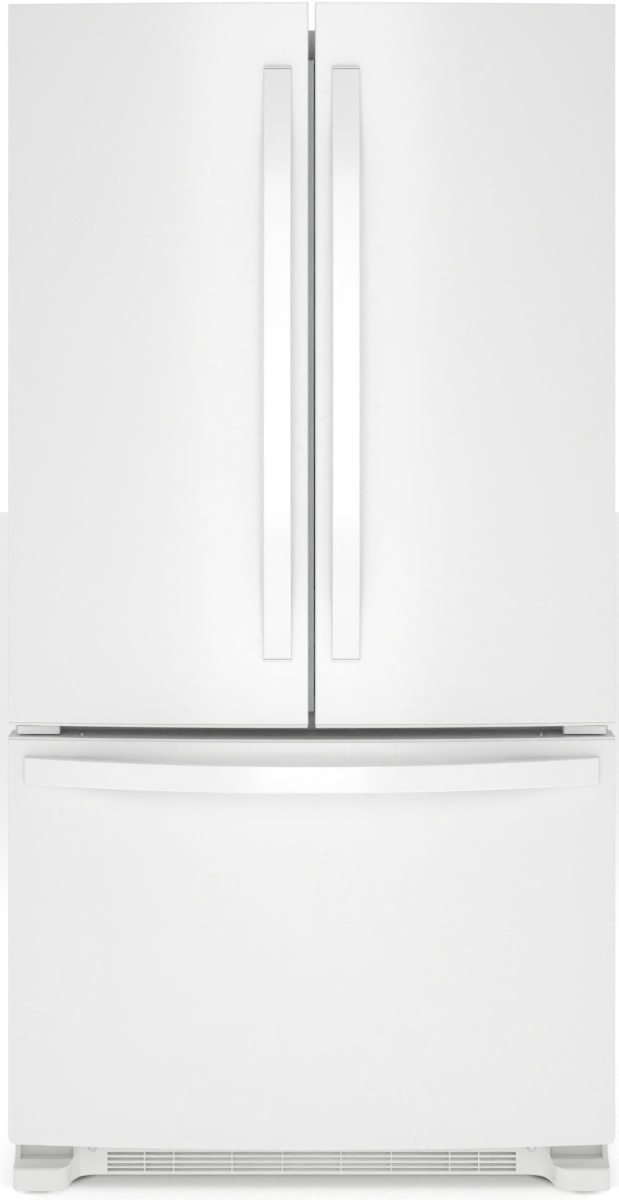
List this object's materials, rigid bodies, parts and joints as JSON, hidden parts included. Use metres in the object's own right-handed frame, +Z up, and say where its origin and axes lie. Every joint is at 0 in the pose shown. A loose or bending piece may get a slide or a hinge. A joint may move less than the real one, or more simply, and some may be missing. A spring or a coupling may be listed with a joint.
{
  "type": "french door refrigerator",
  "caption": "Free-standing refrigerator: side-hinged upper doors with bowed bar handles over a pull-out freezer drawer, on levelling legs and rollers.",
  "frame": {"origin": "on the floor, midway between the sides and midway between the handle fronts and the rearmost screw heads", "axes": "+Z up, -Y out of the front, +X to the right of a person who faces the doors"},
  "size_m": [0.905, 0.9, 1.782],
  "materials": {
    "white_enamel_steel": "smooth gloss enamel",
    "white_handle": "smooth gloss enamel",
    "white_plastic": "moulded, semi-gloss",
    "liner_plastic": "vacuum-formed, semi-gloss",
    "insulation": null,
    "galvanised_steel": "galvanised",
    "gasket_vinyl": "soft matte",
    "clear_plastic": "clear moulded plastic",
    "shelf_pane": "tempered glass",
    "coil_aluminium": "mill finish",
    "black_steel": "semi-gloss black",
    "wheel_plastic": "matte",
    "screw_steel": "bright zinc plate",
    "grey_plastic": "matte moulded"
  },
  "bodies": {
    "cabinet": {"cabinet_shell": "white_enamel_steel", "cabinet_foam": "insulation", "fridge_liner": "liner_plastic", "freezer_liner": "liner_plastic", "back_panel": "galvanised_steel", "machine_cover": "galvanised_steel", "base_pan": "galvanised_steel", "base_grille": "white_plastic", "door_hinges": "white_enamel_steel", "hinge_covers": "white_plastic", "fasteners": "screw_steel", "shelf_ladders": "white_enamel_steel", "shelf_frames": "white_plastic", "shelf_glass": "shelf_pane", "crisper_left": "clear_plastic", "crisper_right": "clear_plastic", "pantry_drawer": "clear_plastic", "air_duct": "liner_plastic", "control_housing": "white_plastic", "evaporator_cover": "liner_plastic", "evaporator_coil": "coil_aluminium", "ice_maker": "grey_plastic", "upper_basket": "white_plastic", "slide_cabinet_rails": "galvanised_steel", "compressor": "black_steel", "condenser_unit": "black_steel"},
    "door_left": {"door_left_skin": "white_enamel_steel", "door_left_core": "insulation", "door_left_liner": "liner_plastic", "door_left_gasket": "gasket_vinyl", "door_left_bins": "clear_plastic", "door_left_handle": "white_handle"},
    "mullion": {"mullion_bar": "grey_plastic"},
    "door_right": {"door_right_skin": "white_enamel_steel", "door_right_core": "insulation", "door_right_liner": "liner_plastic", "door_right_gasket": "gasket_vinyl", "door_right_bins": "clear_plastic", "door_right_handle": "white_handle"},
    "dairy_lid": {"dairy_lid": "clear_plastic"},
    "freezer_drawer": {"drawer_skin": "white_enamel_steel", "drawer_core": "insulation", "drawer_liner": "liner_plastic", "drawer_gasket": "gasket_vinyl", "drawer_handle": "white_handle", "slide_drawer_rails": "galvanised_steel", "lower_basket": "white_plastic"},
    "slide_middle": {"slide_middle_rails": "galvanised_steel"},
    "humidity_slider_left": {"humidity_slider_left": "grey_plastic"},
    "humidity_slider_right": {"humidity_slider_right": "grey_plastic"},
    "ice_ejector": {"ice_ejector": "grey_plastic"},
    "ice_arm": {"ice_arm": "screw_steel"},
    "evaporator_fan": {"evaporator_fan": "wheel_plastic"},
    "condenser_fan": {"condenser_fan": "wheel_plastic"},
    "front_roller_left": {"front_roller_left": "wheel_plastic"},
    "front_roller_right": {"front_roller_right": "wheel_plastic"},
    "rear_roller_left": {"rear_roller_left": "wheel_plastic"},
    "rear_roller_right": {"rear_roller_right": "wheel_plastic"},
    "leveling_leg_left": {"leveling_leg_left": "galvanised_steel"},
    "leveling_leg_right": {"leveling_leg_right": "galvanised_steel"}
  },
  "joints": [
    {"name": "door_left_hinge", "type": "hinge", "parent": "cabinet", "child": "door_left", "pos_m": [-0.425, -0.32, 0.712], "axis": [0, 0, -1], "range_deg": [0, 120]},
    {"name": "door_right_hinge", "type": "hinge", "parent": "cabinet", "child": "door_right", "pos_m": [0.425, -0.32, 0.712], "axis": [0, 0, 1], "range_deg": [0, 120]},
    {"name": "mullion_fold", "type": "hinge", "parent": "door_left", "child": "mullion", "pos_m": [-0.01, -0.2645, 0.76], "axis": [0, 0, 1], "range_deg": [-105, 0]},
    {"name": "dairy_lid_hinge", "type": "hinge", "parent": "door_right", "child": "dairy_lid", "pos_m": [0.218, -0.28, 1.535], "axis": [1, 0, 0], "range_deg": [0, 80]},
    {"name": "freezer_drawer_slide", "type": "slide", "parent": "cabinet", "child": "freezer_drawer", "axis": [0, -1, 0], "range_m": [0, 0.4]},
    {"name": "slide_middle_travel", "type": "slide", "parent": "cabinet", "child": "slide_middle", "axis": [0, -1, 0], "range_m": [0, 0.2]},
    {"name": "humidity_left_slide", "type": "slide", "parent": "cabinet", "child": "humidity_slider_left", "axis": [1, 0, 0], "range_m": [0, 0.04]},
    {"name": "humidity_right_slide", "type": "slide", "parent": "cabinet", "child": "humidity_slider_right", "axis": [1, 0, 0], "range_m": [0, 0.04]},
    {"name": "ice_ejector_spin", "type": "hinge", "parent": "cabinet", "child": "ice_ejector", "pos_m": [-0.32, 0.17, 0.612], "axis": [0, 1, 0], "continuous": true},
    {"name": "ice_arm_lift", "type": "hinge", "parent": "cabinet", "child": "ice_arm", "pos_m": [-0.254, 0.15, 0.604], "axis": [0, -1, 0], "range_deg": [0, 60]},
    {"name": "evaporator_fan_spin", "type": "hinge", "parent": "cabinet", "child": "evaporator_fan", "pos_m": [0, 0.352, 0.59], "axis": [0, 1, 0], "continuous": true},
    {"name": "condenser_fan_spin", "type": "hinge", "parent": "cabinet", "child": "condenser_fan", "pos_m": [-0.108, 0.335, 0.15], "axis": [1, 0, 0], "continuous": true},
    {"name": "front_roller_left_spin", "type": "hinge", "parent": "cabinet", "child": "front_roller_left", "pos_m": [-0.412, -0.205, 0.024], "axis": [1, 0, 0], "continuous": true},
    {"name": "front_roller_right_spin", "type": "hinge", "parent": "cabinet", "child": "front_roller_right", "pos_m": [0.412, -0.205, 0.024], "axis": [1, 0, 0], "continuous": true},
    {"name": "rear_roller_left_spin", "type": "hinge", "parent": "cabinet", "child": "rear_roller_left", "pos_m": [-0.412, 0.412, 0.022], "axis": [1, 0, 0], "continuous": true},
    {"name": "rear_roller_right_spin", "type": "hinge", "parent": "cabinet", "child": "rear_roller_right", "pos_m": [0.412, 0.412, 0.022], "axis": [1, 0, 0], "continuous": true},
    {"name": "leveling_leg_left_turn", "type": "hinge", "parent": "cabinet", "child": "leveling_leg_left", "pos_m": [-0.395, -0.256, 0.03], "axis": [0, 0, 1], "continuous": true},
    {"name": "leveling_leg_right_turn", "type": "hinge", "parent": "cabinet", "child": "leveling_leg_right", "pos_m": [0.395, -0.256, 0.03], "axis": [0, 0, 1], "continuous": true}
  ],
  "couplings": [
    {"joint": "slide_middle_travel", "follows": "freezer_drawer_slide", "ratio": 0.5}
  ]
}
